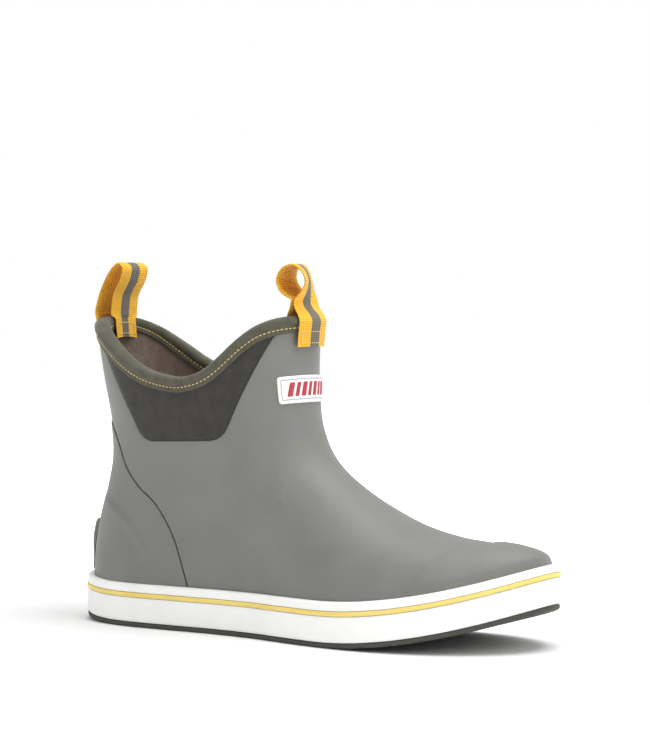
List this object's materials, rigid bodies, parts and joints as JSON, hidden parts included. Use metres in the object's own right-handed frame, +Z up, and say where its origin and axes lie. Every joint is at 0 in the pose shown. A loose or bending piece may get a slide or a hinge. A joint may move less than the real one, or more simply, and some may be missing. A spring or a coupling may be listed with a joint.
{
  "type": "deck boot",
  "caption": "Ankle-height slip-on rubber sailing boot, right foot, with stretch side gussets, a dipped bound collar and webbing pull loops at front and back.",
  "frame": {"origin": "on the flat tread of the outsole under the middle of the foot, at floor level", "axes": "+X towards the toe, +Y towards the inner side of the foot, +Z up"},
  "size_m": [0.3006, 0.1029, 0.2089],
  "materials": {
    "outsole_rubber": "matt dark grey moulded rubber",
    "white_rubber": "satin white rubber",
    "stripe_rubber": "satin pale yellow rubber",
    "midsole_foam": "matt expanded foam rubber",
    "lasting_board": "matt fibre board",
    "footbed_foam": "matt moulded foam",
    "heel_gel": "soft satin gel rubber",
    "upper_rubber": "matt warm grey vulcanised rubber",
    "stretch_neoprene": "matt knit-faced stretch foam",
    "lining_cloth": "matt taupe knitted lining",
    "seam_tape": "matt dark woven tape",
    "collar_binding": "matt dark olive grey folded binding",
    "sewing_thread": "cream polyester thread",
    "loop_webbing": "golden yellow ribbed webbing with a grey centre stripe",
    "label_rubber": "satin white moulded badge",
    "label_line": "satin grey ink",
    "label_red": "satin red ink"
  },
  "bodies": {
    "boot": {"outsole": "outsole_rubber", "foxing_band": "white_rubber", "foxing_stripe": "stripe_rubber", "midsole": "midsole_foam", "insole_board": "lasting_board", "upper_shell": "upper_rubber", "heel_panel": "upper_rubber", "heel_kick_tab": "upper_rubber", "toe_puff": "lasting_board", "heel_counter": "lasting_board", "foam_interlay": "midsole_foam", "gusset_outer": "stretch_neoprene", "gusset_inner": "stretch_neoprene", "lining": "lining_cloth", "back_seam_tape": "seam_tape", "collar_binding": "collar_binding", "collar_thread_outer": "sewing_thread", "collar_thread_inner": "sewing_thread", "front_loop_outer_end": "loop_webbing", "front_loop_inner_end": "loop_webbing", "front_tack_outer": "sewing_thread", "front_tack_inner": "sewing_thread", "rear_loop_outer_end": "loop_webbing", "rear_loop_inner_end": "loop_webbing", "rear_tack_outer": "sewing_thread", "rear_tack_inner": "sewing_thread", "label_patch": "label_rubber", "label_border": "label_line", "label_mark": "label_red"},
    "front_pull": {"front_loop": "loop_webbing"},
    "rear_pull": {"rear_loop": "loop_webbing"},
    "footbed": {"footbed_foam": "footbed_foam", "footbed_cover": "lining_cloth", "footbed_heel_pad": "heel_gel"}
  },
  "joints": [
    {"name": "front_loop_bend", "type": "hinge", "parent": "boot", "child": "front_pull", "pos_m": [0.00235, -0.0109, 0.1855], "axis": [0, 1, 0], "range_deg": [-30, 30], "stiffness_Nm_per_rad": 0.012},
    {"name": "rear_loop_bend", "type": "hinge", "parent": "boot", "child": "rear_pull", "pos_m": [-0.1446, 0.01075, 0.1796], "axis": [0, 1, 0], "range_deg": [-15, 15], "stiffness_Nm_per_rad": 0.02},
    {"name": "footbed_lift", "type": "hinge", "parent": "boot", "child": "footbed", "pos_m": [0.138, 0, 0.03], "axis": [0, 1, 0], "range_deg": [0, 3]}
  ]
}
